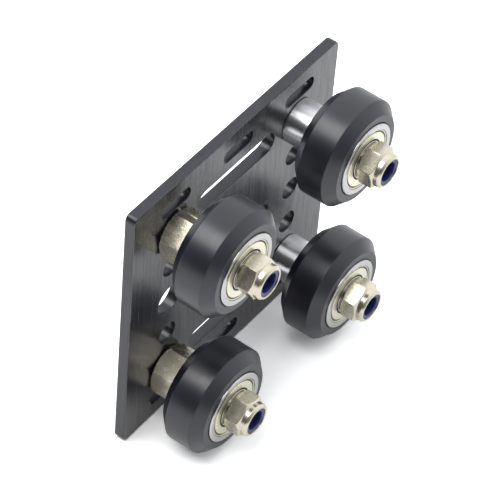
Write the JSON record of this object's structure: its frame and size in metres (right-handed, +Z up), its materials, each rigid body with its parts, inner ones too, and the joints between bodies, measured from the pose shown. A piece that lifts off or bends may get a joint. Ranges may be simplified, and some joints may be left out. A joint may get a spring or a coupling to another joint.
{
  "type": "v wheel carriage plate",
  "caption": "Flat carriage plate for a slotted rail with solid V wheels on shielded ball bearings; one pair stands on fixed spacers, the other on eccentric spacers.",
  "frame": {"origin": "centre of the plate's hole pattern, on the plate's back mounting face", "axes": "+Z up along the rail, +X towards the fixed wheels, +Y out of the plate's back, away from the wheels"},
  "size_m": [0.0654, 0.0281, 0.0654],
  "materials": {
    "black_anodised": "satin",
    "black_acetal": "satin",
    "bearing_steel": "ground",
    "cream_seal": "satin",
    "nickel": "bright",
    "spacer_aluminium": "turned",
    "steel": "satin",
    "blackened_steel": "black oxide",
    "blue_nylon": "satin"
  },
  "bodies": {
    "plate": {"carriage_plate": "black_anodised", "round_spacer_upper_right": "spacer_aluminium", "screw_upper_right": "blackened_steel", "inner_ring_rear_upper_right": "bearing_steel", "inner_ring_front_upper_right": "bearing_steel", "shim_upper_right": "steel", "lock_nut_upper_right": "nickel", "nut_insert_upper_right": "blue_nylon", "round_spacer_lower_right": "spacer_aluminium", "screw_lower_right": "blackened_steel", "inner_ring_rear_lower_right": "bearing_steel", "inner_ring_front_lower_right": "bearing_steel", "shim_lower_right": "steel", "lock_nut_lower_right": "nickel", "nut_insert_lower_right": "blue_nylon"},
    "wheel_upper_right": {"v_wheel_upper_right": "black_acetal", "outer_ring_rear_upper_right": "bearing_steel", "outer_ring_front_upper_right": "bearing_steel", "shields_rear_upper_right": "cream_seal", "shields_front_upper_right": "cream_seal"},
    "balls_upper_right": {"ball_cages_upper_right": "bearing_steel"},
    "wheel_lower_right": {"v_wheel_lower_right": "black_acetal", "outer_ring_rear_lower_right": "bearing_steel", "outer_ring_front_lower_right": "bearing_steel", "shields_rear_lower_right": "cream_seal", "shields_front_lower_right": "cream_seal"},
    "balls_lower_right": {"ball_cages_lower_right": "bearing_steel"},
    "eccentric_upper_left": {"eccentric_spacer_upper_left": "nickel", "screw_upper_left": "blackened_steel", "inner_ring_rear_upper_left": "bearing_steel", "inner_ring_front_upper_left": "bearing_steel", "shim_upper_left": "steel", "lock_nut_upper_left": "nickel", "nut_insert_upper_left": "blue_nylon"},
    "wheel_upper_left": {"v_wheel_upper_left": "black_acetal", "outer_ring_rear_upper_left": "bearing_steel", "outer_ring_front_upper_left": "bearing_steel", "shields_rear_upper_left": "cream_seal", "shields_front_upper_left": "cream_seal"},
    "balls_upper_left": {"ball_cages_upper_left": "bearing_steel"},
    "eccentric_lower_left": {"eccentric_spacer_lower_left": "nickel", "screw_lower_left": "blackened_steel", "inner_ring_rear_lower_left": "bearing_steel", "inner_ring_front_lower_left": "bearing_steel", "shim_lower_left": "steel", "lock_nut_lower_left": "nickel", "nut_insert_lower_left": "blue_nylon"},
    "wheel_lower_left": {"v_wheel_lower_left": "black_acetal", "outer_ring_rear_lower_left": "bearing_steel", "outer_ring_front_lower_left": "bearing_steel", "shields_rear_lower_left": "cream_seal", "shields_front_lower_left": "cream_seal"},
    "balls_lower_left": {"ball_cages_lower_left": "bearing_steel"}
  },
  "joints": [
    {"name": "wheel_upper_right_spin", "type": "hinge", "parent": "plate", "child": "wheel_upper_right", "pos_m": [0.02, -0.01435, 0.02], "axis": [0, -1, 0], "continuous": true},
    {"name": "balls_upper_right_spin", "type": "hinge", "parent": "plate", "child": "balls_upper_right", "pos_m": [0.02, -0.01435, 0.02], "axis": [0, -1, 0], "continuous": true},
    {"name": "wheel_lower_right_spin", "type": "hinge", "parent": "plate", "child": "wheel_lower_right", "pos_m": [0.02, -0.01435, -0.02], "axis": [0, -1, 0], "continuous": true},
    {"name": "balls_lower_right_spin", "type": "hinge", "parent": "plate", "child": "balls_lower_right", "pos_m": [0.02, -0.01435, -0.02], "axis": [0, -1, 0], "continuous": true},
    {"name": "eccentric_upper_left_turn", "type": "hinge", "parent": "plate", "child": "eccentric_upper_left", "pos_m": [-0.02, -0.0125, 0.02], "axis": [0, -1, 0], "continuous": true},
    {"name": "wheel_upper_left_spin", "type": "hinge", "parent": "eccentric_upper_left", "child": "wheel_upper_left", "pos_m": [-0.01929, -0.01435, 0.02038], "axis": [0, -1, 0], "continuous": true},
    {"name": "balls_upper_left_spin", "type": "hinge", "parent": "eccentric_upper_left", "child": "balls_upper_left", "pos_m": [-0.01929, -0.01435, 0.02038], "axis": [0, -1, 0], "continuous": true},
    {"name": "eccentric_lower_left_turn", "type": "hinge", "parent": "plate", "child": "eccentric_lower_left", "pos_m": [-0.02, -0.0125, -0.02], "axis": [0, -1, 0], "continuous": true},
    {"name": "wheel_lower_left_spin", "type": "hinge", "parent": "eccentric_lower_left", "child": "wheel_lower_left", "pos_m": [-0.01939, -0.01435, -0.02051], "axis": [0, -1, 0], "continuous": true},
    {"name": "balls_lower_left_spin", "type": "hinge", "parent": "eccentric_lower_left", "child": "balls_lower_left", "pos_m": [-0.01939, -0.01435, -0.02051], "axis": [0, -1, 0], "continuous": true}
  ],
  "couplings": [
    {"joint": "balls_upper_right_spin", "follows": "wheel_upper_right_spin", "ratio": 0.6325},
    {"joint": "balls_lower_right_spin", "follows": "wheel_lower_right_spin", "ratio": 0.6325},
    {"joint": "balls_upper_left_spin", "follows": "wheel_upper_left_spin", "ratio": 0.6325},
    {"joint": "balls_lower_left_spin", "follows": "wheel_lower_left_spin", "ratio": 0.6325}
  ]
}
